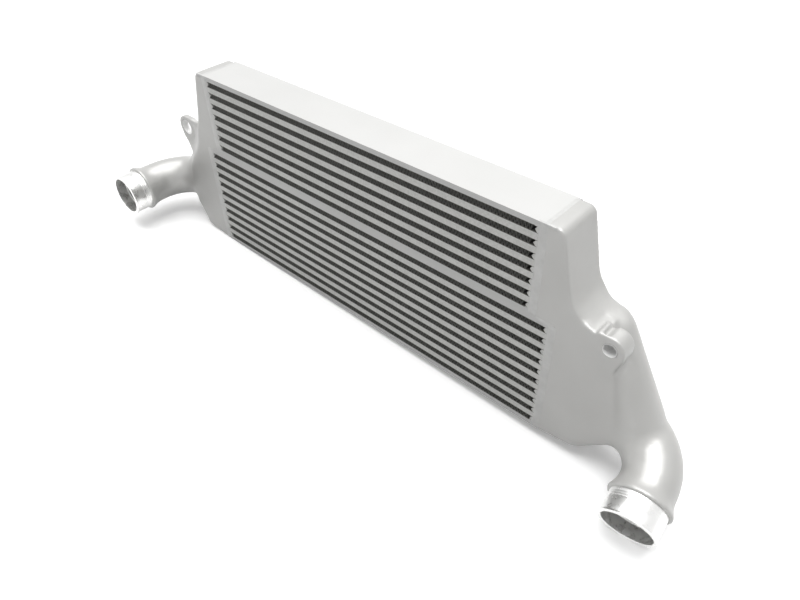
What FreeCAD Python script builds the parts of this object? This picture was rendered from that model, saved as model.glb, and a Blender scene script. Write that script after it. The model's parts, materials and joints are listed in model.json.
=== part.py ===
# Bar-and-plate charge-air cooler: two stacked brazed cores between two cast end tanks.
# Frame: x across the cores, y from front (negative) to back, z up.
# Origin: centre of the underside of the lower core.
import FreeCAD, Part
import math
import os
from FreeCAD import Placement, Rotation, Vector

NODE_FOLDER = "parts"

# Driving sizes in millimetres, angles in degrees, counts without unit
SIZES = {
    # brazed cores
    "core_depth": 55.0,
    "upper_core_length": 508.0,
    "lower_core_length": 554.0,
    "upper_fin_rows": 7,
    "lower_fin_rows": 10,
    "fin_row_height": 6.4,
    "bar_height": 7.3,
    "bar_width": 8.0,
    "sheet_gauge": 0.5,
    "plate_gauge": 6.4,
    "end_bar_width": 8.0,
    "end_bar_nose": 2.5,
    # corrugated fins
    "fin_pitch": 24.0,
    "fin_gauge": 0.6,
    "fin_end_gap": 0.5,
    "turbulator_pitch": 13.0,
    "turbulator_gauge": 0.5,
    # cast tanks, seen from the front; a reach is measured outwards from the upper core's end
    "tank_wall": 4.5,
    "tank_top_reach": 18.5,
    "tank_top_radius": 10.0,
    "right_flare_reach": 39.2,
    "right_flare_rise": 1.0,
    "right_flare_radius": 38.0,
    "left_flare_reach": 37.0,
    "left_flare_rise": 51.0,
    "left_flare_radius": 60.0,
    "right_shoulder_reach": 70.0,
    "right_shoulder_height": 168.0,
    "left_shoulder_reach": 62.0,
    "left_shoulder_height": 138.0,
    "right_waist_reach": 95.0,
    "right_waist_height": 131.0,
    "left_waist_reach": 91.0,
    "left_waist_height": 100.0,
    "right_flank_reach": 107.5,
    "left_flank_reach": 97.0,
    "flank_height": 72.0,
    "flank_radius": 30.0,
    "right_heel_reach": 108.5,
    "left_heel_reach": 94.0,
    "heel_height": 37.0,
    "heel_radius": 12.0,
    "toe_reach": 74.0,
    "toe_rise": 5.0,
    "left_rim_radius": 5.0,
    "right_rim_radius": 2.0,
    "right_flank_rim_radius": 10.0,
    # neck between tank and pipe
    "right_neck_top_reach": 68.0,
    "right_neck_top_offset": 12.0,
    "right_neck_top_height": 150.0,
    "left_neck_top_reach": 76.0,
    "left_neck_top_offset": 9.0,
    "left_neck_top_height": 126.0,
    "neck_top_radius": 18.0,
    "neck_low_reach": 112.0,
    "neck_low_height": 62.0,
    "neck_low_offset": 3.0,
    "neck_low_radius": 27.5,
    # pipe bend
    "pipe_radius": 28.5,
    "pipe_wall": 3.5,
    "bend_cores": 6,
    "pipe_root_reach": 70.0,
    "left_pipe_root_height": 64.0,
    "right_pipe_root_height": 61.5,
    "left_elbow_reach": 155.7,
    "right_elbow_reach": 148.5,
    "left_elbow_offset": 1.5,
    "right_elbow_offset": 3.4,
    "left_elbow_height": 57.8,
    "right_elbow_height": 38.3,
    "left_bend_radius": 55.0,
    "right_bend_radius": 50.0,
    "left_leg_length": 81.9,
    "right_leg_length": 62.0,
    "left_leg_yaw": 0.0,
    "right_leg_yaw": 5.3,
    "left_leg_dip": 0.0,
    "right_leg_dip": 17.0,
    # machined hose spigot and its cast collar
    "collar_radius": 32.5,
    "collar_land": 3.0,
    "collar_flare": 9.0,
    "spigot_radius": 29.0,
    "spigot_length": 26.5,
    "lip_radius": 30.0,
    "lip_length": 3.0,
    "bore_radius": 26.0,
    "bore_depth": 15.0,
    # right ear: thick lug flush with the front face
    "right_ear_x": 334.5,
    "right_ear_z": 157.0,
    "right_ear_radius": 14.5,
    "right_ear_hole": 6.5,
    "right_ear_depth": 19.5,
    "right_ear_hole_depth": 17.0,
    "ear_web_gauge": 3.0,
    "ear_notch_depth": 19.0,
    "ear_foot_drop": 28.0,
    # left ear: thin plate set back from the front face
    "left_ear_x": 341.0,
    "left_ear_z": 157.0,
    "left_ear_radius": 15.5,
    "left_ear_hole": 9.8,
    "left_ear_setback": 10.0,
    "left_ear_gauge": 8.0,
    "left_ear_side": 17.6,
    "left_ear_foot": 44.0,
    "left_ear_foot_reach": 93.0,
}

doc = FreeCAD.newDocument("Intercooler")
sheet = doc.addObject("Spreadsheet::Sheet", "Sizes")
for row, (alias, amount) in enumerate(SIZES.items(), start=1):
    sheet.set(f"A{row}", alias)
    sheet.set(f"B{row}", str(amount))
    sheet.setAlias(f"B{row}", alias)
doc.recompute()


def cell(alias):
    """Value of one cell of the sheet."""
    return float(sheet.get(alias))


core_depth = cell("core_depth")
front_y = -core_depth / 2
fin_row = cell("fin_row_height")
sheet_gauge = cell("sheet_gauge")
plate = cell("plate_gauge")
bar_height = cell("bar_height")
charge_row = bar_height + 2 * sheet_gauge
row_pitch = fin_row + charge_row
tank_wall = cell("tank_wall")


class Core:
    """One brazed core: its extent, and the height of each of its rows."""

    def __init__(self, name, base):
        self.name = name
        self.base = base
        self.length = cell(f"{name}_core_length")
        self.half = self.length / 2
        self.fin_rows = int(cell(f"{name}_fin_rows"))
        self.charge_rows = self.fin_rows - 1
        self.first_fin = base + plate
        self.first_charge = self.first_fin + fin_row
        self.top_plate = self.first_fin + self.fin_rows * fin_row + self.charge_rows * charge_row
        self.top = self.top_plate + plate


lower = Core("lower", 0.0)
upper = Core("upper", lower.top)
cores = (upper, lower)
nodes = []


# Shared helpers

def new_body(name):
    """Body that is one node; its name is the node's name."""
    body = doc.addObject("PartDesign::Body", name)
    body.Label = name
    body.AllowCompound = True
    nodes.append(body)
    return body


def new_sketch(body, name, role, offset=Placement()):
    """Sketch on one of the body's own origin planes."""
    sketch = body.newObject("Sketcher::SketchObject", name)
    support = [item for item in body.Origin.OriginFeatures if item.Role == role][0]
    sketch.AttachmentSupport = [(support, "")]
    sketch.MapMode = "FlatFace"
    sketch.AttachmentOffset = offset
    return sketch


def flat(x, y):
    """Point of a sketch."""
    return Vector(x, y, 0)


def draw_polygon(sketch, points):
    """Closed outline of straight lines."""
    ends = points[1:] + points[:1]
    lines = [Part.LineSegment(flat(*a), flat(*b)) for a, b in zip(points, ends)]
    sketch.addGeometry(lines, False)


def draw_box(sketch, left, bottom, right, top):
    """Rectangle in a sketch."""
    draw_polygon(sketch, [(left, bottom), (right, bottom), (right, top), (left, top)])


def draw_rounded(sketch, corners):
    """Closed outline of (x, y, radius) corners, with a tangent arc at each radius."""
    count = len(corners)
    starts = []
    ends = []
    arcs = []
    for index, (x, y, radius) in enumerate(corners):
        corner = flat(x, y)
        before = flat(*corners[index - 1][:2])
        after = flat(*corners[(index + 1) % count][:2])
        back = (before - corner).normalize()
        ahead = (after - corner).normalize()
        if radius <= 0:
            starts.append(corner)
            ends.append(corner)
            arcs.append(None)
            continue
        half = back.getAngle(ahead) / 2
        reach = radius / math.tan(half)
        bisector = (back + ahead).normalize()
        centre = corner + bisector * (radius / math.sin(half))
        starts.append(corner + back * reach)
        ends.append(corner + ahead * reach)
        middle = centre - bisector * radius
        arcs.append(Part.Arc(starts[-1], middle, ends[-1]))
    geometry = []
    for index in range(count):
        if arcs[index]:
            geometry.append(arcs[index])
        line_end = starts[(index + 1) % count]
        if (ends[index] - line_end).Length > 1e-4:
            geometry.append(Part.LineSegment(ends[index], line_end))
    sketch.addGeometry(geometry, False)


def pad(body, sketch, name, length, symmetric=False, backwards=False):
    """Pad whose length is a number or an expression of the sheet."""
    feature = body.newObject("PartDesign::Pad", name)
    feature.Profile = sketch
    feature.Midplane = symmetric
    feature.Reversed = backwards
    set_size(feature, "Length", length)
    body.Tip = feature
    return feature


def pocket(body, sketch, name, length, symmetric=False, backwards=False):
    """Pocket whose length is a number or an expression of the sheet."""
    feature = body.newObject("PartDesign::Pocket", name)
    feature.Profile = sketch
    feature.Midplane = symmetric
    feature.Reversed = backwards
    set_size(feature, "Length", length)
    body.Tip = feature
    return feature


def set_size(feature, field, amount):
    """Give a field a number, or bind it to the sheet."""
    if isinstance(amount, str):
        feature.setExpression(field, amount)
    else:
        setattr(feature, field, amount)


def repeat_up(body, feature, sketch, name, count):
    """Repeat a feature up the core, one row pitch apart."""
    pattern = body.newObject("PartDesign::LinearPattern", name)
    pattern.Originals = [feature]
    pattern.Direction = (sketch, ["V_Axis"])
    pattern.Length = (count - 1) * row_pitch
    pattern.Occurrences = count
    body.Tip = pattern
    return pattern


def corrugation(first, last, low, high, pitch, gauge):
    """Outline of a folded strip: up and down walls of one gauge, measured square to z."""
    folds = max(2, 2 * round((last - first) / pitch))
    step = (last - first) / folds
    under = [(first + k * step, low if k % 2 == 0 else high - gauge) for k in range(folds + 1)]
    over = [(x, z + gauge) for x, z in reversed(under)]
    return under + over


# Cores: fins, bars, sheets and plates

def make_air_fins(core):
    """Ambient-air fins: one folded strip for each row, open from front to back."""
    nose_tip = core.half - cell("end_bar_width") - cell("end_bar_nose")
    reach = nose_tip - cell("fin_end_gap")
    for row in range(core.fin_rows):
        low = core.first_fin + row * row_pitch
        body = new_body(f"air_fins_{core.name}_{row + 1:02d}")
        strip = new_sketch(body, f"{body.Name}_strip", "XZ_Plane")
        outline = corrugation(-reach, reach, low, low + fin_row, cell("fin_pitch"), cell("fin_gauge"))
        draw_polygon(strip, outline)
        pad(body, strip, f"{body.Name}_pad", "Sizes.core_depth", symmetric=True)


def make_turbulators(core):
    """Charge-air turbulators: folded strips between the front and back bars, open to the tanks."""
    reach = core_depth / 2 - cell("bar_width")
    for row in range(core.charge_rows):
        low = core.first_charge + sheet_gauge + row * row_pitch
        body = new_body(f"turbulator_{core.name}_{row + 1:02d}")
        strip = new_sketch(body, f"{body.Name}_strip", "YZ_Plane")
        pitch = cell("turbulator_pitch")
        outline = corrugation(-reach, reach, low, low + bar_height, pitch, cell("turbulator_gauge"))
        draw_polygon(strip, outline)
        pad(body, strip, f"{body.Name}_pad", f"Sizes.{core.name}_core_length", symmetric=True)


def make_charge_bars(core):
    """Front and back bars that close each charge-air row."""
    for row in range(core.charge_rows):
        low = core.first_charge + sheet_gauge + row * row_pitch
        body = new_body(f"charge_bars_{core.name}_{row + 1:02d}")
        section = new_sketch(body, f"{body.Name}_section", "YZ_Plane")
        inner = front_y + cell("bar_width")
        draw_box(section, front_y, low, inner, low + bar_height)
        draw_box(section, -inner, low, -front_y, low + bar_height)
        pad(body, section, f"{body.Name}_pad", f"Sizes.{core.name}_core_length", symmetric=True)


def make_parting_sheets(core):
    """Two thin sheets for each charge-air row, above and below its bars."""
    body = new_body(f"parting_sheets_{core.name}")
    section = new_sketch(body, f"{body.Name}_section", "YZ_Plane")
    low = core.first_charge
    draw_box(section, front_y, low, -front_y, low + sheet_gauge)
    upper_low = low + sheet_gauge + bar_height
    draw_box(section, front_y, upper_low, -front_y, upper_low + sheet_gauge)
    pair = pad(body, section, f"{body.Name}_pair", f"Sizes.{core.name}_core_length", symmetric=True)
    repeat_up(body, pair, section, f"{body.Name}_rows", core.charge_rows)


def make_end_bars(core, side, side_name):
    """Bars that close the fin rows at one end, each with a pointed nose towards the fins."""
    body = new_body(f"end_bars_{core.name}_{side_name}")
    section = new_sketch(body, f"{body.Name}_section", "XZ_Plane")
    outer = side * core.half
    inner = side * (core.half - cell("end_bar_width"))
    nose = side * (core.half - cell("end_bar_width") - cell("end_bar_nose"))
    low = core.first_fin
    high = low + fin_row
    draw_polygon(section, [(outer, low), (inner, low), (nose, (low + high) / 2), (inner, high), (outer, high)])
    bar = pad(body, section, f"{body.Name}_bar", "Sizes.core_depth", symmetric=True)
    repeat_up(body, bar, section, f"{body.Name}_rows", core.fin_rows)


def make_plate(core, name, low):
    """Thick side plate that closes a core above or below."""
    plate_box = doc.addObject("Part::Box", name)
    plate_box.Label = name
    plate_box.setExpression("Length", f"Sizes.{core.name}_core_length")
    plate_box.setExpression("Width", "Sizes.core_depth")
    plate_box.setExpression("Height", "Sizes.plate_gauge")
    plate_box.Placement.Base = Vector(-core.half, front_y, low)
    nodes.append(plate_box)


# End tanks

def mirrored(corners, side):
    """Corners of a right-hand outline, for the given side."""
    return [(side * x, z, radius) for x, z, radius in corners]


def tank_corners(side_name):
    """Outer outline of a tank in front view, from the top of the core clockwise."""
    top_x = upper.half + cell("tank_top_reach")
    corners = [(upper.half, upper.top, 0), (top_x, upper.top, cell("tank_top_radius"))]
    shoulder = cell(f"{side_name}_shoulder_height")
    flare_z = shoulder + cell(f"{side_name}_flare_rise")
    corners.append((upper.half + cell(f"{side_name}_flare_reach"), flare_z, cell(f"{side_name}_flare_radius")))
    corners.append((upper.half + cell(f"{side_name}_shoulder_reach"), shoulder, 0))
    corners.append((upper.half + cell(f"{side_name}_waist_reach"), cell(f"{side_name}_waist_height"), 0))
    flank_x = upper.half + cell(f"{side_name}_flank_reach")
    heel_x = upper.half + cell(f"{side_name}_heel_reach")
    corners += [
        (flank_x, cell("flank_height"), cell("flank_radius")),
        (heel_x, cell("heel_height"), cell("heel_radius")),
        (upper.half + cell("toe_reach"), cell("toe_rise"), 0),
        (lower.half, lower.base, 0),
        (lower.half, lower.top, 0),
        (upper.half, lower.top, 0),
    ]
    return corners


def inset(corners, walls):
    """Outline moved inwards by one wall for each edge; edge k runs from corner k to the next."""
    count = len(corners)
    moved = []
    for index, (x, z, radius) in enumerate(corners):
        lines = []
        for start, wall in ((index - 1, walls[index - 1]), (index, walls[index])):
            ax, az, _ = corners[start]
            bx, bz, _ = corners[(start + 1) % count]
            run = flat(bx - ax, bz - az).normalize()
            inward = flat(run.y, -run.x)
            lines.append((flat(ax, az) + inward * wall, run))
        (p, u), (q, v) = lines
        cross = u.x * v.y - u.y * v.x
        along = ((q.x - p.x) * v.y - (q.y - p.y) * v.x) / cross
        spot = p + u * along
        turn_in = cross < 0
        grown = radius - max(walls) if turn_in else radius + max(walls)
        moved.append((spot.x, spot.y, max(grown, 0) if radius else 0))
    return moved


def frame_rotation(x_axis, y_hint):
    """Rotation whose x axis is given and whose y axis lies towards the hint."""
    x_axis = Vector(x_axis).normalize()
    normal = x_axis.cross(y_hint).normalize()
    return Rotation(x_axis, normal.cross(x_axis), normal, "XYZ")


def capsule_outline(sketch, length, first_radius, last_radius):
    """Half outline of two spheres joined by a tangent cone, about the sketch's x axis."""
    lean = math.asin((last_radius - first_radius) / length)
    first_touch = flat(-first_radius * math.sin(lean), first_radius * math.cos(lean))
    last_touch = flat(length - last_radius * math.sin(lean), last_radius * math.cos(lean))
    first_mid = math.radians(90) + (lean + math.radians(90)) / 2
    last_mid = (math.radians(90) + lean) / 2
    first_end = flat(-first_radius, 0)
    last_end = flat(length + last_radius, 0)
    first_way = flat(math.cos(first_mid), math.sin(first_mid)) * first_radius
    last_way = flat(length, 0) + flat(math.cos(last_mid), math.sin(last_mid)) * last_radius
    sketch.addGeometry([
        Part.Arc(first_end, first_way, first_touch),
        Part.LineSegment(first_touch, last_touch),
        Part.Arc(last_touch, last_way, last_end),
        Part.LineSegment(last_end, first_end),
    ], False)


def turn(body, kind, sketch, name):
    """Full revolution or groove about the sketch's x axis."""
    feature = body.newObject(f"PartDesign::{kind}", name)
    feature.Profile = sketch
    feature.ReferenceAxis = (sketch, ["H_Axis"])
    feature.Angle = 360
    body.Tip = feature
    return feature


def neck_ends(side, side_name):
    """Centres of the neck's two ends, at the tank's shoulder and in the pipe."""
    top_x = upper.half + cell(f"{side_name}_neck_top_reach")
    low_x = upper.half + cell("neck_low_reach")
    top_y = cell(f"{side_name}_neck_top_offset")
    top = Vector(side * top_x, top_y, cell(f"{side_name}_neck_top_height"))
    low = Vector(side * low_x, cell("neck_low_offset"), cell("neck_low_height"))
    return top, low


def make_neck(body, side, side_name):
    """Tapered neck with round ends, from the tank's shoulder down to the pipe."""
    first, last = neck_ends(side, side_name)
    axis = last - first
    place = Placement(first, frame_rotation(axis, Vector(0, 1, 0)))
    profile = new_sketch(body, f"{side_name}_neck_profile", "XY_Plane", place)
    capsule_outline(profile, axis.Length, cell("neck_top_radius"), cell("neck_low_radius"))
    turn(body, "Revolution", profile, f"{side_name}_neck")


def make_neck_space(body, side, side_name):
    """Tapered air way inside the neck."""
    first, last = neck_ends(side, side_name)
    axis = last - first
    place = Placement(first, frame_rotation(axis, Vector(0, 1, 0)))
    profile = new_sketch(body, f"{side_name}_neck_space_profile", "XY_Plane", place)
    top_radius = cell("neck_top_radius") - tank_wall
    low_radius = cell("neck_low_radius") - tank_wall
    draw_polygon(profile, [(0, 0), (0, top_radius), (axis.Length, low_radius), (axis.Length, 0)])
    turn(body, "Groove", profile, f"{side_name}_neck_space")


class Outlet:
    """Pipe line of one tank: root inside the tank, elbow, and leg to the collar."""

    def __init__(self, side, side_name):
        root_x = upper.half + cell("pipe_root_reach")
        elbow_x = upper.half + cell(f"{side_name}_elbow_reach")
        offset = cell(f"{side_name}_elbow_offset")
        self.elbow = Vector(side * elbow_x, offset, cell(f"{side_name}_elbow_height"))
        self.root = Vector(side * root_x, offset, cell(f"{side_name}_pipe_root_height"))
        yaw = math.radians(cell(f"{side_name}_leg_yaw"))
        dip = math.radians(cell(f"{side_name}_leg_dip"))
        ahead = math.cos(dip)
        self.way = Vector(side * math.sin(yaw) * ahead, -math.cos(yaw) * ahead, -math.sin(dip))
        self.leg = cell(f"{side_name}_leg_length")
        self.bend = cell(f"{side_name}_bend_radius")
        self.inwards = (self.root - self.elbow).normalize()
        self.run = (self.root - self.elbow).Length

    def spine(self, body, name, leg, steps):
        """Path sketch: straight root, bend and straight leg; the bend is an arc, or that many mitred steps."""
        place = Placement(self.elbow, frame_rotation(self.inwards, self.way))
        path = new_sketch(body, name, "XY_Plane", place)
        opening = self.inwards.getAngle(self.way)
        reach = self.bend / math.tan(opening / 2)
        leaving = flat(math.cos(opening), math.sin(opening))
        centre = flat(reach, self.bend)
        if not steps:
            bisector = flat(math.cos(opening / 2), math.sin(opening / 2))
            middle = centre - bisector * self.bend
            path.addGeometry([
                Part.LineSegment(flat(self.run, 0), flat(reach, 0)),
                Part.Arc(flat(reach, 0), middle, leaving * reach),
                Part.LineSegment(leaving * reach, leaving * leg),
            ], False)
            return path
        turned = math.pi - opening
        knee = self.bend / math.cos(turned / steps / 2)
        angles = [math.radians(-90) - turned * (step + 0.5) / steps for step in range(steps)]
        knees = [centre + flat(math.cos(angle), math.sin(angle)) * knee for angle in angles]
        stops = [flat(self.run, 0)] + knees + [leaving * leg]
        path.addGeometry([Part.LineSegment(a, b) for a, b in zip(stops, stops[1:])], False)
        return path

    def tube(self, body, kind, name, radius, leg, steps=0):
        """Round tube along the pipe line."""
        path = self.spine(body, f"{name}_path", leg, steps)
        start = self.elbow + self.inwards * self.run
        place = Placement(start, Rotation(Vector(0, 0, 1), self.inwards * -1))
        ring = new_sketch(body, f"{name}_ring", "XY_Plane", place)
        ring.addGeometry(Part.Circle(flat(0, 0), Vector(0, 0, 1), radius), False)
        feature = body.newObject(f"PartDesign::{kind}", name)
        feature.Profile = ring
        feature.Spine = path
        feature.Transition = "Right corner" if steps else "Transformed"
        body.Tip = feature
        return feature


def make_spigot(body, outlet, name):
    """Cast collar and turned hose spigot with an end lip, about the leg's axis."""
    place = Placement(outlet.elbow, frame_rotation(outlet.way, Vector(0, 0, 1)))
    profile = new_sketch(body, f"{name}_profile", "XY_Plane", place)
    seat = outlet.leg
    end = seat + cell("spigot_length")
    inner = cell("pipe_radius") - cell("pipe_wall")
    collar_back = seat - cell("collar_land")
    flare_start = collar_back - cell("collar_flare")
    chamfer = (cell("lip_radius") - cell("spigot_radius")) / 2
    draw_polygon(profile, [
        (flare_start, inner),
        (flare_start, cell("pipe_radius")),
        (collar_back, cell("collar_radius")),
        (seat, cell("collar_radius")),
        (seat, cell("spigot_radius")),
        (end - cell("lip_length"), cell("spigot_radius")),
        (end - cell("lip_length") + 2 * chamfer, cell("lip_radius")),
        (end - chamfer, cell("lip_radius")),
        (end, cell("lip_radius") - chamfer),
        (end, inner),
    ])
    turn(body, "Revolution", profile, name)


def make_bore(body, outlet, name):
    """Machined bore from the mouth inwards, a step wider than the cast pipe."""
    place = Placement(outlet.elbow, frame_rotation(outlet.way, Vector(0, 0, 1)))
    profile = new_sketch(body, f"{name}_profile", "XY_Plane", place)
    end = outlet.leg + cell("spigot_length")
    draw_box(profile, end - cell("bore_depth"), 0, end, cell("bore_radius"))
    turn(body, "Groove", profile, name)


def at_depth(y):
    """Offset of a front-view sketch to the given depth."""
    return Placement(Vector(0, 0, -y), Rotation())


def make_right_ear(body, side):
    """Thick lug round the bolt hole, flush with the front face."""
    centre_x = cell("right_ear_x")
    centre_z = cell("right_ear_z")
    radius = cell("right_ear_radius")
    root_x = upper.half + cell("right_shoulder_reach")
    lug = new_sketch(body, f"{body.Name}_lug", "XZ_Plane", at_depth(front_y))
    foot = centre_z - cell("ear_foot_drop")
    draw_rounded(lug, mirrored([
        (root_x - tank_wall, centre_z + radius, 0),
        (centre_x + radius, centre_z + radius, radius),
        (centre_x + radius, centre_z - radius / 2, radius / 2),
        (centre_x + radius / 2, foot, 0),
        (root_x - tank_wall, foot, 0),
    ], side))
    pad(body, lug, f"{body.Name}_lug_pad", "Sizes.right_ear_depth", backwards=True)


def cut_right_ear(body, side):
    """Blind bolt hole, and the core-out between tank and lug behind a thin front web."""
    centre_x = cell("right_ear_x")
    centre_z = cell("right_ear_z")
    root_x = upper.half + cell("right_shoulder_reach")
    lug_x = centre_x - cell("right_ear_hole") / 2
    above = centre_z + 2 * cell("right_ear_radius")
    floor = centre_z + cell("right_ear_hole") + cell("ear_web_gauge")
    place = at_depth(front_y + cell("ear_web_gauge"))
    notch = new_sketch(body, f"{body.Name}_notch", "XZ_Plane", place)
    draw_polygon(notch, [
        (side * root_x, above),
        (side * root_x, floor),
        (side * lug_x, floor + cell("ear_web_gauge")),
        (side * lug_x, above),
    ])
    pocket(body, notch, f"{body.Name}_notch_cut", "Sizes.ear_notch_depth")
    hole = new_sketch(body, f"{body.Name}_ear_hole", "XZ_Plane", at_depth(front_y))
    hole.addGeometry(Part.Circle(flat(side * centre_x, centre_z), Vector(0, 0, 1), cell("right_ear_hole")), False)
    pocket(body, hole, f"{body.Name}_ear_hole_cut", "Sizes.right_ear_hole_depth")


def make_left_ear(body, side):
    """Thin ear plate set back from the front face, with a wide hole for a rubber bush."""
    centre_x = cell("left_ear_x")
    centre_z = cell("left_ear_z")
    radius = cell("left_ear_radius")
    root_x = upper.half + cell("left_shoulder_reach") - 2 * radius
    top = centre_z + radius
    outer_x = centre_x + cell("left_ear_side")
    foot = centre_z - cell("left_ear_foot")
    depth = front_y + cell("left_ear_setback")
    blade = new_sketch(body, f"{body.Name}_blade", "XZ_Plane", at_depth(depth))
    draw_rounded(blade, mirrored([
        (root_x, top, 0),
        (outer_x, top, radius),
        (outer_x, centre_z - radius / 4, radius),
        (upper.half + cell("left_ear_foot_reach"), foot, 0),
        (root_x, foot, 0),
    ], side))
    pad(body, blade, f"{body.Name}_blade_pad", "Sizes.left_ear_gauge", backwards=True)


def cut_left_ear(body, side):
    """Through hole for the rubber bush."""
    centre = flat(side * cell("left_ear_x"), cell("left_ear_z"))
    hole = new_sketch(body, f"{body.Name}_ear_hole", "XZ_Plane")
    hole.addGeometry(Part.Circle(centre, Vector(0, 0, 1), cell("left_ear_hole")), False)
    pocket(body, hole, f"{body.Name}_ear_hole_cut", "Sizes.core_depth", symmetric=True)


def soften_rim(body, base, name, radius, low, high):
    """Rounds the front and back rims of the tank between two heights."""
    doc.recompute()
    names = []
    for index, edge in enumerate(base.Shape.Edges, start=1):
        box = edge.BoundBox
        middle = edge.valueAt((edge.FirstParameter + edge.LastParameter) / 2)
        on_face = box.YLength < 1e-6 and abs(abs(middle.y) - core_depth / 2) < 1e-6
        outside = abs(middle.x) > upper.half + 1e-3 and max(abs(box.XMin), abs(box.XMax)) > lower.half - 1e-3
        top_face = abs(middle.x) > upper.half + 1e-3 and middle.z > upper.top - cell("tank_top_radius")
        on_core = abs(middle.x) < lower.half + 1e-3 and middle.z < lower.top + 1e-3
        if on_face and (outside or top_face) and not on_core and low < middle.z < high:
            names.append(f"Edge{index}")
    fillet = body.newObject("PartDesign::Fillet", name)
    fillet.Base = (base, names)
    fillet.setExpression("Radius", radius)
    body.Tip = fillet
    return fillet


def make_tank(side, side_name, make_ear, cut_ear, rims):
    """One cast end tank with its ear, neck, bent pipe, collar and spigot."""
    body = new_body(f"{side_name}_end_tank")
    shell = new_sketch(body, f"{side_name}_shell", "XZ_Plane")
    outer = tank_corners(side_name)
    draw_rounded(shell, mirrored(outer, side))
    block = pad(body, shell, f"{side_name}_shell_pad", "Sizes.core_depth", symmetric=True)
    toe = cell("toe_rise") + tank_wall
    for part_name, low, high in rims:
        radius = f"Sizes.{side_name}_{part_name}_radius"
        block = soften_rim(body, block, f"{side_name}_{part_name}", radius, max(low, toe), high)
    make_ear(body, side)
    outlet = Outlet(side, side_name)
    make_neck(body, side, side_name)
    outlet.tube(body, "AdditivePipe", f"{side_name}_pipe", cell("pipe_radius"), outlet.leg)
    make_spigot(body, outlet, f"{side_name}_spigot")

    cavity = new_sketch(body, f"{side_name}_cavity", "XZ_Plane")
    walls = [tank_wall] * 8 + [0, tank_wall, 0]
    draw_rounded(cavity, mirrored(inset(outer, walls), side))
    room = pocket(body, cavity, f"{side_name}_cavity_cut", 1.0, symmetric=True)
    room.setExpression("Length", "Sizes.core_depth - 2 * Sizes.tank_wall")
    make_neck_space(body, side, side_name)
    inner = cell("pipe_radius") - cell("pipe_wall")
    past_collar = outlet.leg + cell("spigot_length") - cell("bore_depth") / 2
    cores = int(cell("bend_cores"))
    outlet.tube(body, "SubtractivePipe", f"{side_name}_pipe_space", inner, past_collar, cores)
    make_bore(body, outlet, f"{side_name}_bore")
    cut_ear(body, side)


for core in cores:
    make_air_fins(core)
    make_turbulators(core)
    make_charge_bars(core)
    make_parting_sheets(core)
    make_end_bars(core, -1, "left")
    make_end_bars(core, 1, "right")
    make_plate(core, f"{core.name}_bottom_plate", core.base)
    make_plate(core, f"{core.name}_top_plate", core.top_plate)
above_all = upper.top + tank_wall
make_tank(-1, "left", make_left_ear, cut_left_ear, [("rim", 0, above_all)])
above_shelf = cell("right_shoulder_height") + cell("right_flare_rise")
right_rims = [("rim", above_shelf, above_all), ("flank_rim", 0, cell("right_waist_height"))]
make_tank(1, "right", make_right_ear, cut_right_ear, right_rims)
doc.recompute()

for item in doc.Objects:
    if "Invalid" in item.State or "Error" in item.State:
        raise RuntimeError(f"{item.Name} failed: {item.State}")
for node in nodes:
    if node.Shape.isNull() or not node.Shape.isValid():
        raise RuntimeError(f"{node.Label} has no valid shape")

os.makedirs(NODE_FOLDER, exist_ok=True)
for node in nodes:
    node.Shape.exportStep(os.path.join(NODE_FOLDER, f"{node.Label}.step"))
    box = node.Shape.BoundBox
    print(f"{node.Label}: {len(node.Shape.Solids)} solids, volume {node.Shape.Volume:.0f}, "
          f"x {box.XMin:.1f}..{box.XMax:.1f} y {box.YMin:.1f}..{box.YMax:.1f} z {box.ZMin:.1f}..{box.ZMax:.1f}")
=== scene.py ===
"""Looks of a bar-and-plate intercooler on its CAD frame. Metres; x across, y to the back, z up."""
import json
import math

import bmesh
import bpy
import numpy as np
from mathutils import Matrix, Vector


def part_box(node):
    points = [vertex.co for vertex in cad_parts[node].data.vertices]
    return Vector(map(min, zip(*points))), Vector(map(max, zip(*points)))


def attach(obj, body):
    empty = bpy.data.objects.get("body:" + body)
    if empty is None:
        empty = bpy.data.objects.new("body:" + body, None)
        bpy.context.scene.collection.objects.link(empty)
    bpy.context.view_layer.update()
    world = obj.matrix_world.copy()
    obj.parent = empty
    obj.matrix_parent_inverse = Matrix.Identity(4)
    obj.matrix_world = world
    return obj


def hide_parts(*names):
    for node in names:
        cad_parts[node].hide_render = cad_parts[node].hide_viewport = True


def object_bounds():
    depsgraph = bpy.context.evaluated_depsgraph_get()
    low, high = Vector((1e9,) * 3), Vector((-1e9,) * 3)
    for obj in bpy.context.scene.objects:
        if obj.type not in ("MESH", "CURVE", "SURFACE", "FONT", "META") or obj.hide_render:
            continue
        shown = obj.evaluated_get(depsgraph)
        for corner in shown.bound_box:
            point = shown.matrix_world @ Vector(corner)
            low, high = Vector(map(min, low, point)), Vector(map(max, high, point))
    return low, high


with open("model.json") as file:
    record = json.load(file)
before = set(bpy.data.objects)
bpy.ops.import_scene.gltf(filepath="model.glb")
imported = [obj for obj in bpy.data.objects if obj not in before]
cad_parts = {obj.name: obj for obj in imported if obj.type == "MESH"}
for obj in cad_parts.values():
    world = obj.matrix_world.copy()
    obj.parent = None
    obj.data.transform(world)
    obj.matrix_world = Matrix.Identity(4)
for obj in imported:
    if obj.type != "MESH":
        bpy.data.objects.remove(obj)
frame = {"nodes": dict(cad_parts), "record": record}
cad_box = [list(corner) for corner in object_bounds()]

MM = 0.001
NODES = frame["nodes"]
MOUNTS = {mount["name"]: mount for mount in frame["record"]["mounts"]}

# Plates and bars
EDGE_BREAK = 0.35 * MM

# Folded fins of the air rows, and the braze between the outermost rows and their plates
FIN_PERIOD = 4.0 * MM
FIN_GAUGE = 0.4 * MM
FIN_CREST = 0.9 * MM
# Folded fins of the air rows, and the thin sheet edge between the outermost rows and their plates,
# coloured dark as a painted shadow line under the fins
FIN_STRIPS = 5
SHEET_SHADOW_HEIGHT = 0.5 * MM
SHEET_SHADOW_PROUD = 0.04 * MM

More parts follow.
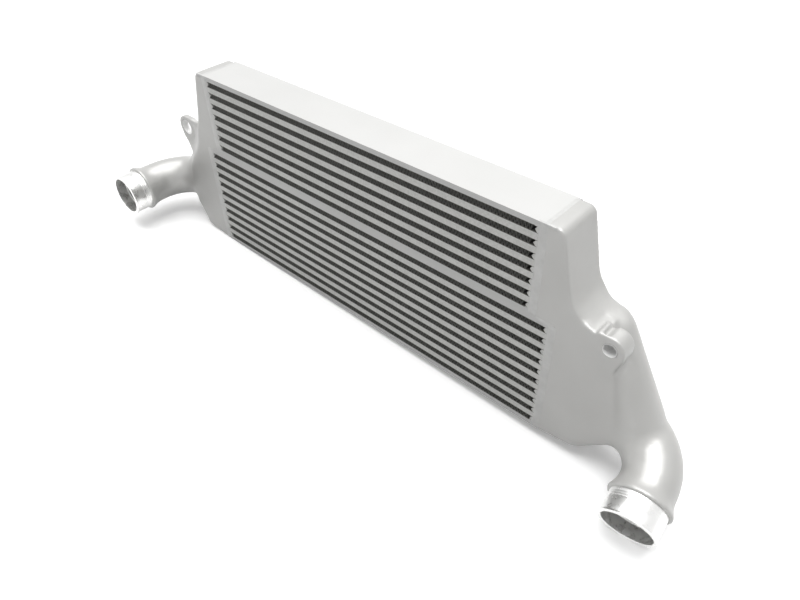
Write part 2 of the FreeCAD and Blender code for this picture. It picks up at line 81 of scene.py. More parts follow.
# Castings: remesh, numbers of smoothing passes, and how strongly each pass pulls
CAST_VOXEL = 1.4 * MM
CAST_SMOOTHING = 5
CREASE_SMOOTHING = 40
CAST_FILLING = 420
EDGE_SOFTNESS = 0.16
CREASE_SOFTNESS = 0.5
FILLING_PULL = 0.6
NORMALS_EVERY = 20
CAST_KEEP = 0.8

# Castings: pairs (nothing below, all above) between which a pass fades in
LEDGE_MARGIN = 2 * MM
BESIDE_CORE = (0.5 * MM, 5 * MM)
BEHIND_COLLAR = (3.5 * MM, 12 * MM)
SPIGOT_NEAR = 0.08
NECK_REACH = (0.292, 0.306)
NECK_HEIGHT = (0.0, 0.02)
EAR_FRONT = (-0.006, 0.0)
EAR_KEEP = {"left": (0.019, 0.028), "right": (0.026, 0.038)}

# Ear holes
HOLE_SKIN = 0.7 * MM
LINER_SKIN = HOLE_SKIN + 0.1 * MM
LINER_SINK = 0.4 * MM
LINER_PROUD = 0.05 * MM
LINER_FLOOR = 0.3 * MM
BLIND_CENTRE = 0.1 * MM
LINER_STEPS = 64

# Hose spigots
SPIGOT_LENGTH = 26.5 * MM
SPIGOT_ROOT = 6 * MM
SPIGOT_STEPS = 96
LIP_LAND_BACK = 1.25 * MM
LIP_LENGTH = 3.0 * MM
LIP_EDGE = 0.5 * MM
SEAT_RADIUS = 29.0 * MM
LIP_RADIUS = 30.3 * MM
BORE_RADIUS = 26.0 * MM
BORE_DEPTH = 15 * MM
BORE_TAPER = 15.4 * MM
THROAT_RADIUS = 25.0 * MM - 0.05 * MM
SPIGOT_RINGS = 3
SPIGOT_FIRST_RING = 3.2 * MM
SPIGOT_RING_STEP = 2.6 * MM
GROOVE_DEPTH = 0.1 * MM
GROOVE_HALF = 0.3 * MM
TURNED_EDGE_ANGLE = 28

# Weld strips: wide bands, narrow beads and low ledges
BAND_WIDTH = 10.0 * MM
BAND_HEIGHT = 0.5 * MM
BAND_OVERLAP = 3.0 * MM
BEAD_WIDTH = 3.4 * MM
BEAD_HEIGHT = 2.3 * MM
BEAD_SINK = 1.2 * MM
LEDGE_WIDTH = 5.0 * MM
LEDGE_HEIGHT = 0.22 * MM
CORNER_BEAD = (-9.0 * MM, 13.0 * MM)
WELD_RIPPLE = 2.6 * MM
WELD_INSET = 0.6 * MM
WELD_TOP_INSET = 1 * MM
WELD_ROOT = 0.1 * MM
WELD_CELLS = 12
WELD_END_STEPS = 6
WANDER_STEPS = 41
SWELL_STEPS = 17

# Camera, as solved from the photo
CAMERA_PLACE = Vector((0.4927, -0.4642, 0.5934))
CAMERA_RIGHT = Vector((0.738828, 0.673416, -0.025379))
CAMERA_UP = Vector((-0.426338, 0.496252, 0.756287))
CAMERA_LENS = 30.40
SENSOR_WIDTH = 36.0
NEAR_CLIP = 0.01

# Floor
FLOOR_GAP = 0.4 * MM
FLOOR_SIZE = 6.0

FLOOR_WHITE = 0.93
FLOOR_BOUNCE = 0.34
FLOOR_LIFT = 0.22

# Light: world and sun, then (place, target, width, power, height) of each area light
WORLD_LEVEL = 0.24
SUN_WAY = (0.12, -0.1, -1.0)
SUN_LEVEL = 3.0
SUN_SPREAD = 62.0
AREA_LIGHTS = {
    "softbox": ((0.45, -0.3, 1.6), (0.2, 0, 0.05), 1.5, 8, 0.9),
    "front_fill": ((-0.1, -2.0, 0.9), (0, 0, 0.1), 1.6, 1.5, 0.8),
}
WHITE = (1, 1, 1, 1)

# Range of a noise value that a material spreads over its colours and its gloss
NOISE_LOW = 0.3
NOISE_HIGH = 0.7


# Shared helpers

def new_object(name, mesh):
    """Object for a finished mesh, in the scene."""
    piece = bpy.data.objects.new(name, mesh)
    bpy.context.scene.collection.objects.link(piece)
    return piece


def mesh_from(name, points, faces):
    """Mesh of points and faces."""
    mesh = bpy.data.meshes.new(name)
    mesh.from_pydata([tuple(point) for point in points], [], faces)
    mesh.update()
    return mesh


def shade(mesh, smooth=True, angle=None):
    """Smooth or flat shading; with an angle, sharp edges stay sharp."""
    mesh.polygons.foreach_set("use_smooth", [smooth] * len(mesh.polygons))
    if angle is not None:
        mesh.set_sharp_from_angle(angle=math.radians(angle))


def dress(piece, material):
    """Material and body of a piece."""
    piece.data.materials.clear()
    piece.data.materials.append(material)
    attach(piece, "root")


def evaluated_mesh(piece):
    """Mesh of a piece with its modifiers applied."""
    graph = bpy.context.evaluated_depsgraph_get()
    return bpy.data.meshes.new_from_object(piece.evaluated_get(graph))


# Materials

class Material:
    """Node material with short helpers for links and noise."""

    def __init__(self, name, colour, roughness, metallic=0.0):
        self.data = bpy.data.materials.new(name)
        self.data.use_nodes = True
        self.tree = self.data.node_tree
        self.shader = self.tree.nodes["Principled BSDF"]
        self.shader.inputs["Base Color"].default_value = (*colour, 1)
        self.shader.inputs["Roughness"].default_value = roughness
        self.shader.inputs["Metallic"].default_value = metallic
        self.place = self.add("ShaderNodeTexCoord").outputs["Object"]
        self.height = None

    def add(self, kind, **fields):
        """New node with its fields set."""
        node = self.tree.nodes.new(kind)
        for key, value in fields.items():
            setattr(node, key, value)
        return node

    def link(self, source, target):
        """Link of two sockets."""
        self.tree.links.new(source, target)

    def noise(self, scale, detail=4.0, roughness=0.55):
        """Noise value; scale is in features per metre."""
        node = self.add("ShaderNodeTexNoise")
        node.inputs["Scale"].default_value = scale
        node.inputs["Detail"].default_value = detail
        node.inputs["Roughness"].default_value = roughness
        self.link(self.place, node.inputs["Vector"])
        return node.outputs["Fac"]

    def spread(self, value, low, high, out_low, out_high):
        """Value mapped from one range to another."""
        node = self.add("ShaderNodeMapRange")
        node.inputs["From Min"].default_value = low
        node.inputs["From Max"].default_value = high
        node.inputs["To Min"].default_value = out_low
        node.inputs["To Max"].default_value = out_high
        self.link(value, node.inputs["Value"])
        return node.outputs["Result"]

    def ramp(self, value, first, last):
        """Colour between two colours by a noise value."""
        node = self.add("ShaderNodeValToRGB")
        node.color_ramp.elements[0].position = NOISE_LOW
        node.color_ramp.elements[0].color = (*first, 1)
        node.color_ramp.elements[1].position = NOISE_HIGH
        node.color_ramp.elements[1].color = (*last, 1)
        self.link(value, node.inputs["Fac"])
        return node.outputs["Color"]

    def tint(self, colour):
        """Base colour from a socket."""
        self.link(colour, self.shader.inputs["Base Color"])

    def gloss(self, value, low, high):
        """Roughness from a noise value."""
        rough = self.spread(value, NOISE_LOW, NOISE_HIGH, low, high)
        self.link(rough, self.shader.inputs["Roughness"])

    def bump(self, value, depth):
        """Adds a bump of that depth in metres."""
        node = self.add("ShaderNodeBump")
        node.inputs["Strength"].default_value = 1.0
        node.inputs["Distance"].default_value = depth
        self.link(value, node.inputs["Height"])
        if self.height:
            self.link(self.height, node.inputs["Normal"])
        self.height = node.outputs["Normal"]
        self.link(self.height, self.shader.inputs["Normal"])


def core_material():
    """Brazed aluminium: pale grey, matte and slightly sandy."""
    look = Material("brazed_aluminium", (0.56, 0.56, 0.55), 0.5, 0.12)
    grain = look.noise(1300, 3, 0.6)
    cloud = look.noise(9, 3, 0.5)
    look.tint(look.ramp(cloud, (0.55, 0.55, 0.54), (0.585, 0.585, 0.575)))
    look.gloss(grain, 0.46, 0.62)
    look.bump(grain, 0.06 * MM)
    return look.data


def bar_material():
    """Front and back faces of the bars, sanded a little darker than the plates."""
    look = Material("sanded_bars", (0.60, 0.60, 0.58), 0.55, 0.12)
    grain = look.noise(1000, 4, 0.65)
    cloud = look.noise(30, 4, 0.6)
    look.tint(look.ramp(look.noise(420, 4, 0.7), (0.53, 0.53, 0.51), (0.66, 0.66, 0.64)))
    look.gloss(cloud, 0.48, 0.64)
    look.bump(grain, 0.09 * MM)
    return look.data


def fin_material():
    """Thin fins, coloured dark as painted shade of their row; the noise varies that painted shade."""
    look = Material("dark_fin_aluminium", (0.13, 0.13, 0.12), 0.6, 0.0)
    shade_mottle = look.noise(260, 3)
    look.tint(look.ramp(shade_mottle, (0.10, 0.10, 0.092), (0.17, 0.17, 0.157)))
    look.gloss(shade_mottle, 0.5, 0.7)
    return look.data


def fin_edge_material():
    """Cut edges of the fins: a lighter copy of the fins' painted shade, painted light where the edges
    catch the front light.
    """
    look = Material("fin_edge_aluminium", (0.3, 0.3, 0.28), 0.5, 0.0)
    shade_mottle = look.noise(500, 3)
    look.tint(look.ramp(shade_mottle, (0.2, 0.2, 0.185), (0.4, 0.4, 0.37)))
    look.gloss(shade_mottle, 0.4, 0.6)
    return look.data


def sheet_material():
    """Edges of the parting sheets and the thin strips under the fin rows, coloured near black as painted
    shade of the fin rows.
    """
    look = Material("shaded_sheet_edge", (0.07, 0.07, 0.065), 0.6, 0.0)
    sheet_mottle = look.noise(300, 4)
    look.tint(look.ramp(sheet_mottle, (0.05, 0.05, 0.045), (0.11, 0.11, 0.10)))
    look.gloss(sheet_mottle, 0.5, 0.7)
    return look.data


def cast_material():
    """Satin casting with a very fine grain, smoother along the pipes."""
    look = Material("satin_casting", (0.48, 0.48, 0.468), 0.38, 0.25)
    cloud = look.noise(11, 3, 0.5)
    grain = look.noise(900, 2, 0.5)
    look.tint(look.ramp(cloud, (0.47, 0.468, 0.455), (0.515, 0.513, 0.50)))
    out = look.add("ShaderNodeSeparateXYZ")
    look.link(look.place, out.inputs["Vector"])
    reach = look.add("ShaderNodeMath", operation="ABSOLUTE")
    look.link(out.outputs["X"], reach.inputs[0])
    smoothness = look.spread(reach.outputs["Value"], 0.33, 0.38, 0.38, 0.33)
    look.link(smoothness, look.shader.inputs["Roughness"])
    look.bump(grain, 0.03 * MM)
    look.bump(look.noise(75, 2, 0.4), 0.5 * MM)
    return look.data


def turned_material():
    """Turned aluminium of the hose seats and bores."""
    look = Material("turned_aluminium", (0.84, 0.84, 0.83), 0.3, 1.0)
    smear = look.noise(120, 3)
    look.gloss(smear, 0.22, 0.38)
    look.bump(look.noise(2600, 2), 0.01 * MM)
    return look.data


def lit_bore_material():
    """Machined wall of a drilled hole, coloured near white: partly bare turned metal, partly painted
    light so the bore shows bright.
    """
    look = Material("lit_bore_aluminium", (0.96, 0.96, 0.95), 0.3, 0.0)
    swirl = look.noise(700, 2)
    look.tint(look.ramp(swirl, (0.95, 0.95, 0.94), (0.98, 0.98, 0.975)))
    look.gloss(swirl, 0.25, 0.4)
    look.bump(swirl, 0.01 * MM)
    return look.data


def weld_material():
    """Weld metal dressed flush, slightly brighter than the casting."""
    look = Material("weld_aluminium", (0.54, 0.54, 0.53), 0.36, 0.2)
    grain = look.noise(600, 3)
    look.tint(look.ramp(look.noise(90, 3), (0.50, 0.50, 0.49), (0.57, 0.57, 0.56)))
    look.gloss(grain, 0.3, 0.46)
    look.bump(grain, 0.06 * MM)
    return look.data


def floor_material():
    """Pale floor with the shadow: white to camera and reflections, greyer as it lights the part."""
    look = Material("pale_floor", (FLOOR_WHITE,) * 3, 0.9)
    look.shader.inputs["Specular IOR Level"].default_value = 0.0
    look.shader.inputs["Emission Color"].default_value = WHITE
    path = look.add("ShaderNodeLightPath")
    seen = look.add("ShaderNodeMath", operation="MAXIMUM")
    look.link(path.outputs["Is Camera Ray"], seen.inputs[0])
    look.link(path.outputs["Is Glossy Ray"], seen.inputs[1])
    lift = look.add("ShaderNodeMath", operation="MULTIPLY")
    look.link(seen.outputs["Value"], lift.inputs[0])
    lift.inputs[1].default_value = FLOOR_LIFT
    look.link(lift.outputs["Value"], look.shader.inputs["Emission Strength"])
    mix = look.add("ShaderNodeMix", data_type="RGBA")
    mix.inputs["A"].default_value = (FLOOR_WHITE, FLOOR_WHITE, FLOOR_WHITE, 1)
    mix.inputs["B"].default_value = (FLOOR_BOUNCE, FLOOR_BOUNCE, FLOOR_BOUNCE, 1)
    look.link(path.outputs["Is Diffuse Ray"], mix.inputs["Factor"])
    look.tint(mix.outputs["Result"])
    return look.data


# Fins

def fin_section(first, last, low, high, shift):
    """Centre line of a folded strip with flat crests, from first to last."""
    half = FIN_PERIOD / 2
    crest = FIN_CREST / 2
    count = int((last - first - abs(shift)) / half) - 1
    start = (first + last - count * half) / 2 + shift
    points = []
    for fold in range(count + 1):
        x = start + fold * half
        z = low if fold % 2 == 0 else high
        points.append((x - crest, z))
        points.append((x + crest, z))
    return points


def thickened(points, gauge):
    """Both sides of a centre line, at half the gauge from it."""
    line = np.array(points)
    run = np.gradient(line, axis=0)
    run /= np.linalg.norm(run, axis=1)[:, None]
    across = np.stack([-run[:, 1], run[:, 0]], axis=1) * gauge / 2
    across[:, 1] = np.clip(across[:, 1], -gauge / 2, gauge / 2)
    return line + across, line - across


def fin_mesh(node):
    """Offset strips of folded fin that fill the place of one air row."""
    low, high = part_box(node)
    depth = (high[1] - low[1]) / FIN_STRIPS
    points = []
    faces = []
    edges = []
    for strip in range(FIN_STRIPS):
        shift = FIN_PERIOD / 8 * (1 if strip % 2 else -1)
        margin = FIN_GAUGE / 2
        line = fin_section(low[0], high[0], low[2] + margin, high[2] - margin, shift)
        over, under = thickened(line, FIN_GAUGE)
        front = low[1] + strip * depth
        count = len(line)
        base = len(points)
        for y in (front, front + depth):
            for side in (over, under):
                points += [(x, y, z) for x, z in side]
        rows = [base, base + count, base + 2 * count, base + 3 * count]
        for k in range(count - 1):
            faces.append((rows[0] + k, rows[0] + k + 1, rows[2] + k + 1, rows[2] + k))
            faces.append((rows[1] + k + 1, rows[1] + k, rows[3] + k, rows[3] + k + 1))
            edges += [len(faces), len(faces) + 1]
            faces.append((rows[0] + k + 1, rows[0] + k, rows[1] + k, rows[1] + k + 1))
            faces.append((rows[2] + k, rows[2] + k + 1, rows[3] + k + 1, rows[3] + k))
        for k in (0, count - 1):
            ring = (rows[0] + k, rows[2] + k, rows[3] + k, rows[1] + k)
            faces.append(ring if k == 0 else ring[::-1])
    mesh = mesh_from(node, points, faces)
    # the cut edges take the second material, the lighter copy of the fins' painted shade
    for face in edges:
        mesh.polygons[face].material_index = 1
    return mesh


def slab(name, low, high, material):
    """Thin rectangular strip in the core's face."""
    corners = [(x, y, z) for x in (low[0], high[0]) for y in (low[1], high[1]) for z in (low[2], high[2])]
    sides = [(0, 1, 3, 2), (4, 6, 7, 5), (0, 4, 5, 1), (2, 3, 7, 6), (0, 2, 6, 4), (1, 5, 7, 3)]
    piece = new_object(name, mesh_from(name, corners, sides))
    dress(piece, material)


def middle_height(node):
    """Height of the middle of a CAD piece."""
    low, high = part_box(node)
    return (low[2] + high[2]) / 2


def make_sheet_shadow_lines(material):
    """Thin sheet edge between each outermost fin row and its side plate, coloured dark as a painted
    shadow line under the fins.
    """
    for half in ("upper", "lower"):
        for plate, up in ((f"{half}_bottom_plate", 1), (f"{half}_top_plate", -1)):
            plate_low, plate_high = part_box(plate)
            edge = plate_high[2] if up > 0 else plate_low[2]
            rows = [node for node in NODES if node.startswith(f"air_fins_{half}")]
            row = min(rows, key=lambda node: abs(middle_height(node) - edge))
            row_low, row_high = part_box(row)
            low_z, high_z = sorted((edge + up * SHEET_SHADOW_PROUD, edge - up * SHEET_SHADOW_HEIGHT))
            low = (row_low[0], plate_low[1] - SHEET_SHADOW_PROUD, low_z)
            high = (row_high[0], plate_high[1] + SHEET_SHADOW_PROUD, high_z)
            slab(f"{plate}_sheet_shadow", low, high, material)


def make_fins(material, edge_material):
    """True-pitch fins in every air row."""
    for node in sorted(NODES):
        if not node.startswith("air_fins"):
            continue
        mesh = fin_mesh(node)
        shade(mesh, False)
        piece = new_object(f"folded_{node}", mesh)
        dress(piece, material)
        piece.data.materials.append(edge_material)
        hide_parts(node)


# Castings

class Outlet:
    """Places along one hose spigot, from its mount in the record."""

    def __init__(self, side):
        mount = MOUNTS[f"{side}_outlet"]
        self.way = Vector(mount["axis"]).normalized()
        self.end = Vector(mount["pos_m"]) + self.way * LIP_LAND_BACK
        self.collar = self.end - self.way * SPIGOT_LENGTH

    def matrix(self):
        """Matrix whose local z runs out of the mouth, with its origin at the collar's face."""
        turn = self.way.to_track_quat("Z", "Y")
        return Matrix.Translation(self.collar) @ turn.to_matrix().to_4x4()


def neighbour_mean(points, edges, counts):
    """Mean of each point's neighbours."""
    total = np.zeros_like(points)
    for axis in range(3):
        column = points[:, axis]
        first = np.bincount(edges[:, 0], weights=column[edges[:, 1]], minlength=len(points))
        second = np.bincount(edges[:, 1], weights=column[edges[:, 0]], minlength=len(points))
        total[:, axis] = first + second
    return total / counts[:, None]


def point_normals(points, corners):
    """Normal at each point of a mesh of triangles."""
    a, b, c = (points[corners[:, k]] for k in range(3))
    cross = np.cross(b - a, c - a)
    normals = np.zeros_like(points)
    for axis in range(3):
        for k in range(3):
            normals[:, axis] += np.bincount(corners[:, k], weights=cross[:, axis], minlength=len(points))
    length = np.linalg.norm(normals, axis=1)
    return normals / np.maximum(length, 1e-12)[:, None]


def smooth_step(value, low, high):
    """0 below low, 1 above high, smooth between."""
    part = np.clip((value - low) / (high - low), 0, 1)
    return part * part * (3 - 2 * part)


def cast_weights(points, outlet, lower_half, upper_half, step_height):
    """How far each point may move: nothing beside the core or at the machined spigot."""
    reach = np.abs(points[:, 0])
    above = points[:, 2] > step_height + LEDGE_MARGIN
    beside = np.where(above, reach - upper_half, reach - lower_half)
    free = smooth_step(beside, *BESIDE_CORE)
    along = (points - np.array(outlet.collar)) @ np.array(outlet.way)
    near = np.linalg.norm(points - np.array(outlet.collar), axis=1) < SPIGOT_NEAR
    kept = np.where(near, smooth_step(-along, *BEHIND_COLLAR), 1.0)
    return free * kept


def blend_zone(points, ear, keep):
    """Where creases are filled: the neck and the pipe's root, away from the ear's own edges."""
    reach = np.abs(points[:, 0])
    zone = smooth_step(reach, *NECK_REACH) * smooth_step(points[:, 2], *NECK_HEIGHT)
    gap = np.hypot(points[:, 0] - ear[0], points[:, 2] - ear[2])
    in_front = smooth_step(-points[:, 1], *EAR_FRONT)
    return zone * (1 - in_front * (1 - smooth_step(gap, *keep)))


def clear_ear_hole(points, side):
    """Keeps the casting's skin just outside the lined ear hole."""
    mount = MOUNTS[f"{side}_ear"]
    centre = np.array(mount["pos_m"])
    radius = mount["dims"]["r_mm"] * MM
    half = mount["dims"]["length_mm"] * MM / 2
    offset = points - centre
    gap = np.hypot(offset[:, 0], offset[:, 2])
    within = (gap < radius + HOLE_SKIN) & (np.abs(offset[:, 1]) < half + HOLE_SKIN)
    wall = within & (gap > radius - 2 * HOLE_SKIN)
    stretch = np.where(wall, (radius + HOLE_SKIN) / np.maximum(gap, MM), 1.0)
    points[:, 0] = centre[0] + offset[:, 0] * stretch
    points[:, 2] = centre[2] + offset[:, 2] * stretch
    points[:, 1] += np.where(within & ~wall, HOLE_SKIN, 0.0)


def blended_casting(side, outlet):
    """The tank's solid with cast radii: fine smoothing all over, and its creases filled."""
    node = f"{side}_end_tank"
    source = new_object(f"{side}_cast_source", NODES[node].data.copy())
    remesh = source.modifiers.new("even_mesh", "REMESH")
    remesh.mode = "VOXEL"
    remesh.voxel_size = CAST_VOXEL
    even = source.modifiers.new("triangles", "TRIANGULATE")
    even.quad_method = "BEAUTY"
    mesh = evaluated_mesh(source)
    bpy.data.objects.remove(source)

    count = len(mesh.vertices)
    points = np.empty(count * 3)
    mesh.vertices.foreach_get("co", points)
    points = points.reshape(-1, 3)
    edges = np.empty(len(mesh.edges) * 2, dtype=np.int64)
    mesh.edges.foreach_get("vertices", edges)
    edges = edges.reshape(-1, 2)
    corners = np.empty(len(mesh.polygons) * 3, dtype=np.int64)
    mesh.polygons.foreach_get("vertices", corners)
    corners = corners.reshape(-1, 3)
    counts = np.bincount(edges.ravel(), minlength=count).astype(float)

    upper_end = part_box("upper_top_plate")[1]
    lower_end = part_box("lower_top_plate")[1]
    weights = cast_weights(points, outlet, lower_end[0], upper_end[0], lower_end[2])
    zone = weights * blend_zone(points, MOUNTS[f"{side}_ear"]["pos_m"], EAR_KEEP[side])
    softness = weights * (EDGE_SOFTNESS + (CREASE_SOFTNESS - EDGE_SOFTNESS) * zone)
    for _ in range(CAST_SMOOTHING):
        points += (neighbour_mean(points, edges, counts) - points) * softness[:, None]
    for _ in range(CREASE_SMOOTHING):
        points += (neighbour_mean(points, edges, counts) - points) * (softness * zone)[:, None]
    for step in range(CAST_FILLING):
        if step % NORMALS_EVERY == 0:
            normals = point_normals(points, corners)
        pull = ((neighbour_mean(points, edges, counts) - points) * normals).sum(axis=1)
        points += normals * (np.maximum(pull, 0) * zone * FILLING_PULL)[:, None]
    for _ in range(CAST_SMOOTHING):
        points += (neighbour_mean(points, edges, counts) - points) * (softness * zone)[:, None]
    clear_ear_hole(points, side)
    mesh.vertices.foreach_set("co", points.ravel())
    mesh.update()
    return mesh


def cut_spigot_off(mesh, outlet):
    """Takes away what lies beyond the collar's face and closes the cut."""
    work = bmesh.new()
    work.from_mesh(mesh)
    everything = list(work.verts) + list(work.edges) + list(work.faces)
    cut = bmesh.ops.bisect_plane(
        work, geom=everything, plane_co=outlet.collar, plane_no=outlet.way, clear_outer=True)
    rim = [item for item in cut["geom_cut"] if isinstance(item, bmesh.types.BMEdge)]
    bmesh.ops.triangle_fill(work, use_beauty=True, use_dissolve=False, edges=rim, normal=outlet.way)
    work.to_mesh(mesh)
    work.free()


def thin_out(piece, ratio):
    """Fewer triangles with the same form."""
    reduce = piece.modifiers.new("fewer_triangles", "DECIMATE")
    reduce.ratio = ratio
    mesh = evaluated_mesh(piece)
    piece.modifiers.clear()
    piece.data = mesh


def lathe(name, profile, place, steps):
    """Closed ring turned from (radius, height) points about the local z axis."""
    points = []
    faces = []
    rows = len(profile)
    for step in range(steps):
        angle = 2 * math.pi * step / steps
        for radius, height in profile:
            points.append((radius * math.cos(angle), radius * math.sin(angle), height))
    for step in range(steps):
        this = step * rows
        after = (step + 1) % steps * rows
        for k in range(rows):
            nxt = (k + 1) % rows
            faces.append((this + k, after + k, after + nxt, this + nxt))
    mesh = mesh_from(name, points, faces)
    mesh.transform(place)
    shade(mesh, True, TURNED_EDGE_ANGLE)
    return new_object(name, mesh)


def spigot_profile():
    """Turned seat with fine grooves, end lip and stepped bore, from the collar's face outwards."""
    end = SPIGOT_LENGTH
    edge = LIP_EDGE
    lip_start = end - LIP_LENGTH
    profile = [(THROAT_RADIUS, -SPIGOT_ROOT), (SEAT_RADIUS - 1.0 * MM, -SPIGOT_ROOT)]
    profile += [(SEAT_RADIUS - 1.0 * MM, -0.2 * MM), (SEAT_RADIUS, 0.05 * MM)]
    for ring in range(SPIGOT_RINGS):
        height = SPIGOT_FIRST_RING + ring * SPIGOT_RING_STEP
        profile += [(SEAT_RADIUS, height - GROOVE_HALF), (SEAT_RADIUS - GROOVE_DEPTH, height)]
        profile += [(SEAT_RADIUS, height + GROOVE_HALF)]
    profile += [(SEAT_RADIUS, lip_start), (LIP_RADIUS - edge / 2, lip_start + edge)]
    profile += [(LIP_RADIUS, lip_start + 2 * edge), (LIP_RADIUS, end - edge), (LIP_RADIUS - edge, end)]
    profile += [(BORE_RADIUS + edge, end), (BORE_RADIUS, end - edge), (BORE_RADIUS, end - BORE_DEPTH)]
    profile += [(THROAT_RADIUS, end - BORE_TAPER)]
    return profile


def bore_liner(side, material):
    """Machined wall of the ear's hole with a small countersink; the right one is blind."""
    mount = MOUNTS[f"{side}_ear"]
    radius = mount["dims"]["r_mm"] * MM
    length = mount["dims"]["length_mm"] * MM
    way = Vector(mount["axis"])
    place = Matrix.Translation(mount["pos_m"]) @ way.to_track_quat("Z", "Y").to_matrix().to_4x4()
    half = length / 2
    outer = radius + LINER_SKIN
    mouth = half + LINER_PROUD
    floor = LINER_FLOOR - half
    inner = radius if side == "left" else BLIND_CENTRE
    profile = [(inner, -half), (outer, -half), (outer, mouth)]
    profile += [(radius + LINER_SINK, mouth), (radius, half - LINER_SINK), (radius, floor)]
    if side == "right":
        profile.append((inner, floor))
    piece = lathe(f"{side}_ear_bore", profile, place, LINER_STEPS)
    dress(piece, material)
    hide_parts(f"{side}_end_tank")


def make_casting(side, cast, turned, lit_bore):
    """One end tank: blended casting, turned spigot and machined ear hole."""
    outlet = Outlet(side)
    mesh = blended_casting(side, outlet)
    cut_spigot_off(mesh, outlet)
    piece = new_object(f"{side}_cast_tank", mesh)
    thin_out(piece, CAST_KEEP)
    shade(piece.data, True)
    dress(piece, cast)
    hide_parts(f"{side}_end_tank")
    spigot = lathe(f"{side}_turned_spigot", spigot_profile(), outlet.matrix(), SPIGOT_STEPS)
    dress(spigot, turned)
    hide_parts(f"{side}_end_tank")
    # the ear hole's near-white wall is partly painted light
    bore_liner(side, lit_bore)


# Weld beads

def drift(random, steps, window):
    """Smooth random values, one for each step and its end."""
    return np.convolve(random.normal(0, 1, steps + window), np.ones(window) / window, "valid")


def weld_strip(name, start, end, out, material, width, height, ripple, power, seed):
    """Strip of weld metal along a straight line, raised by its height; power shapes its crown."""
    start, end, out = Vector(start), Vector(end), Vector(out).normalized()
    run = end - start
    side = run.cross(out).normalized()
    steps = max(8, int(run.length / (WELD_RIPPLE / 5)))
    random = np.random.default_rng(seed)
    wander = drift(random, steps, WANDER_STEPS)
    swell = drift(random, steps, SWELL_STEPS)
    points = []
    faces = []
    for step in range(steps + 1):
        part = step / steps
        fade = max(0.05, min(1, part * steps / WELD_END_STEPS, (1 - part) * steps / WELD_END_STEPS))
        centre = start + run * part + side * float(wander[step]) * width * 0.12
        phase = part * run.length / WELD_RIPPLE
        local = height * (1 + 0.5 * ripple * float(swell[step]))
        for k in range(WELD_CELLS + 1):
            u = k / WELD_CELLS * 2 - 1
            wave = 0.5 + 0.5 * math.sin(2 * math.pi * (phase - 0.4 * u * u))
            lift = local * (1 - abs(u) ** power) * (1 - ripple + ripple * wave) * fade
            points.append(centre + side * (u * width / 2) + out * (lift - WELD_ROOT))
    row = WELD_CELLS + 1
    for step in range(steps):
        for k in range(WELD_CELLS):
            base = step * row + k
            faces.append((base, base + 1, base + row + 1, base + row))
    mesh = mesh_from(name, points, faces)
    shade(mesh)
    dress(new_object(name, mesh), material)


def band(name, start, end, out, material, seed):
    """Wide, almost flush band of dressed weld metal over the joint of core and tank."""
    weld_strip(name, start, end, out, material, BAND_WIDTH, BAND_HEIGHT, 0.12, 7, seed)


def bead(name, start, end, out, material, seed):
    """Narrow rippled bead along an edge, with its root sunk into the corner."""
    weld_strip(name, start, end, out, material, BEAD_WIDTH, BEAD_HEIGHT, 0.3, 2, seed)


def ledge(name, start, end, out, material, seed):
    """Low narrow strip, laid along the step between the cores and across the top."""
    weld_strip(name, start, end, out, material, LEDGE_WIDTH, LEDGE_HEIGHT, 0.3, 3, seed)


def make_welds(material):
    """Bands over the cores' ends, ledges along steps and top, and beads at the front corners."""
    plate_low, plate_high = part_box("upper_top_plate")
    lower_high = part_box("lower_top_plate")[1]
    top = plate_high[2]
    step = lower_high[2]
    front, back = plate_low[1], plate_high[1]
    inward = BAND_WIDTH / 2 - BAND_OVERLAP
    for sign, side in ((-1, "left"), (1, "right")):
        upper_x = sign * (plate_high[0] - inward)
        lower_x = sign * (lower_high[0] - inward)
        for face, y, out in (("front", front, (0, -1, 0)), ("back", back, (0, 1, 0))):
            upper = ((upper_x, y, step), (upper_x, y, top - WELD_INSET))
            lower = ((lower_x, y, WELD_INSET), (lower_x, y, step - WELD_INSET))
            band(f"{side}_{face}_upper_weld", *upper, out, material, seed=3)
            band(f"{side}_{face}_lower_weld", *lower, out, material, seed=4)
            ledge_run = ((sign * plate_high[0], y, step), (sign * lower_high[0], y, step))
            ledge(f"{side}_{face}_ledge_weld", *ledge_run, out, material, seed=6)
        seam_x = sign * plate_high[0]
        top_run = ((seam_x, front + WELD_TOP_INSET, top), (seam_x, back - WELD_TOP_INSET, top))
        ledge(f"{side}_top_weld", *top_run, (0, 0, 1), material, seed=5)
        corner = [(seam_x + sign * shift, front + BEAD_SINK, top - BEAD_SINK) for shift in CORNER_BEAD]
        bead(f"{side}_corner_weld", *corner, (0, -1, 1), material, seed=7)


# Core

def dress_core(plates, bars, sheets):
    """Materials and fine bevels of the CAD pieces that stay."""
    for node, piece in NODES.items():
        if node.endswith("end_tank") or node.startswith("air_fins"):
            continue
        look = plates
        if node.startswith(("charge_bars", "end_bars")):
            look = bars
        # parting sheets take the near-black painted shade of the fin rows
        if node.startswith("parting_sheets"):
            look = sheets
        piece.data.materials.clear()
        piece.data.materials.append(look)
        if look is not sheets and not node.startswith("turbulator"):
            bevel = piece.modifiers.new("edge_break", "BEVEL")
            bevel.width = EDGE_BREAK
            bevel.segments = 2
            bevel.limit_method = "ANGLE"


# Stage, light and camera

def make_floor(material):
    """Wide pale floor under the right mouth and the left end of the core, on which the part lies."""
    mouth = Outlet("right").end
    low = cad_box[0][2] - FLOOR_GAP
    core_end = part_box("lower_bottom_plate")[0]
    slope = (core_end[2] - FLOOR_GAP - low) / (core_end[0] - mouth.x)
    size = FLOOR_SIZE
    corners = [(-size, -size), (size, -size), (size, size), (-size, size)]
    points = [(x, y, low + slope * (x - mouth.x)) for x, y in corners]
    floor = new_object("floor", mesh_from("floor", points, [(0, 1, 2, 3)]))
    floor.data.materials.append(material)


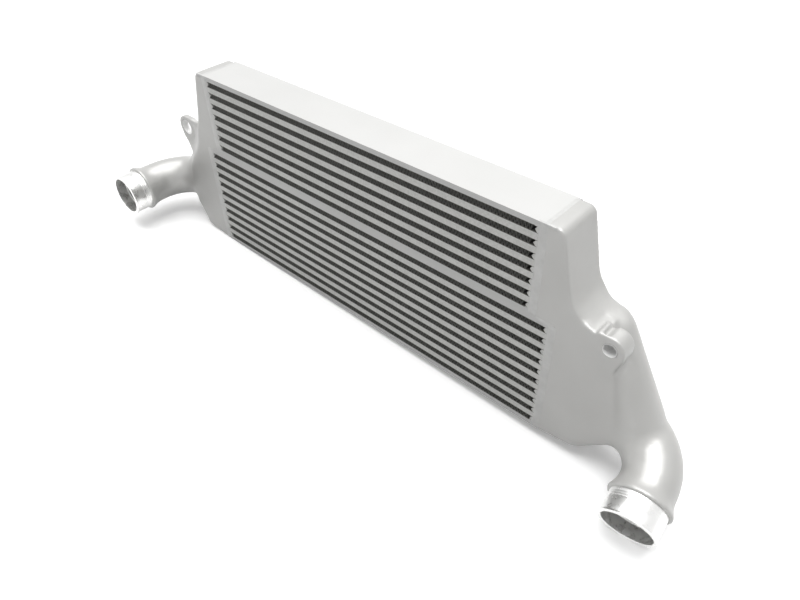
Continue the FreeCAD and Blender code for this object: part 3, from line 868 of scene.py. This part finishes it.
def area_light(name, place, target, width, power, height):
    """Soft area light aimed at a point."""
    lamp = bpy.data.lights.new(name, "AREA")
    lamp.shape = "RECTANGLE"
    lamp.size = width
    lamp.size_y = height
    lamp.energy = power
    piece = bpy.data.objects.new(name, lamp)
    piece.location = place
    piece.rotation_euler = (Vector(target) - Vector(place)).to_track_quat("-Z", "Y").to_euler()
    bpy.context.scene.collection.objects.link(piece)


def sun_light(name, way, level, spread):
    """Very soft even light from one direction."""
    lamp = bpy.data.lights.new(name, "SUN")
    lamp.energy = level
    lamp.angle = math.radians(spread)
    piece = bpy.data.objects.new(name, lamp)
    piece.rotation_euler = Vector(way).to_track_quat("-Z", "Y").to_euler()
    bpy.context.scene.collection.objects.link(piece)


def make_world():
    """Even pale surroundings, white where the camera or a reflection sees them."""
    world = bpy.data.worlds.new("studio")
    world.use_nodes = True
    tree = world.node_tree
    back = tree.nodes["Background"]
    back.inputs["Color"].default_value = WHITE
    back.inputs["Strength"].default_value = WORLD_LEVEL
    white = tree.nodes.new("ShaderNodeBackground")
    white.inputs["Color"].default_value = WHITE
    white.inputs["Strength"].default_value = 1.0
    path = tree.nodes.new("ShaderNodeLightPath")
    mix = tree.nodes.new("ShaderNodeMixShader")
    seen = path.outputs["Is Camera Ray"]
    for ray in ("Is Glossy Ray", "Is Transmission Ray"):
        both = tree.nodes.new("ShaderNodeMath")
        both.operation = "MAXIMUM"
        tree.links.new(seen, both.inputs[0])
        tree.links.new(path.outputs[ray], both.inputs[1])
        seen = both.outputs["Value"]
    tree.links.new(seen, mix.inputs["Fac"])
    tree.links.new(back.outputs["Background"], mix.inputs[1])
    tree.links.new(white.outputs["Background"], mix.inputs[2])
    tree.links.new(mix.outputs["Shader"], tree.nodes["World Output"].inputs["Surface"])
    bpy.context.scene.world = world


def make_camera():
    """Camera at the photo's place and angle."""
    data = bpy.data.cameras.new("photo_camera")
    data.lens = CAMERA_LENS
    data.sensor_width = SENSOR_WIDTH
    data.clip_start = NEAR_CLIP
    camera = bpy.data.objects.new("photo_camera", data)
    back = CAMERA_RIGHT.cross(CAMERA_UP).normalized()
    axes = Matrix((CAMERA_RIGHT.normalized(), CAMERA_UP.normalized(), back)).transposed()
    camera.matrix_world = Matrix.Translation(CAMERA_PLACE) @ axes.to_4x4()
    bpy.context.scene.collection.objects.link(camera)
    bpy.context.scene.camera = camera


sheet_look = sheet_material()
casting_looks = (cast_material(), turned_material(), lit_bore_material())

make_camera()
dress_core(core_material(), bar_material(), sheet_look)
make_fins(fin_material(), fin_edge_material())
make_sheet_shadow_lines(sheet_look)
make_casting("left", *casting_looks)
make_casting("right", *casting_looks)
make_welds(weld_material())
make_floor(floor_material())
make_world()
sun_light("overhead", SUN_WAY, SUN_LEVEL, SUN_SPREAD)
for light, settings in AREA_LIGHTS.items():
    area_light(light, *settings)
bpy.context.scene.view_settings.view_transform = "Standard"
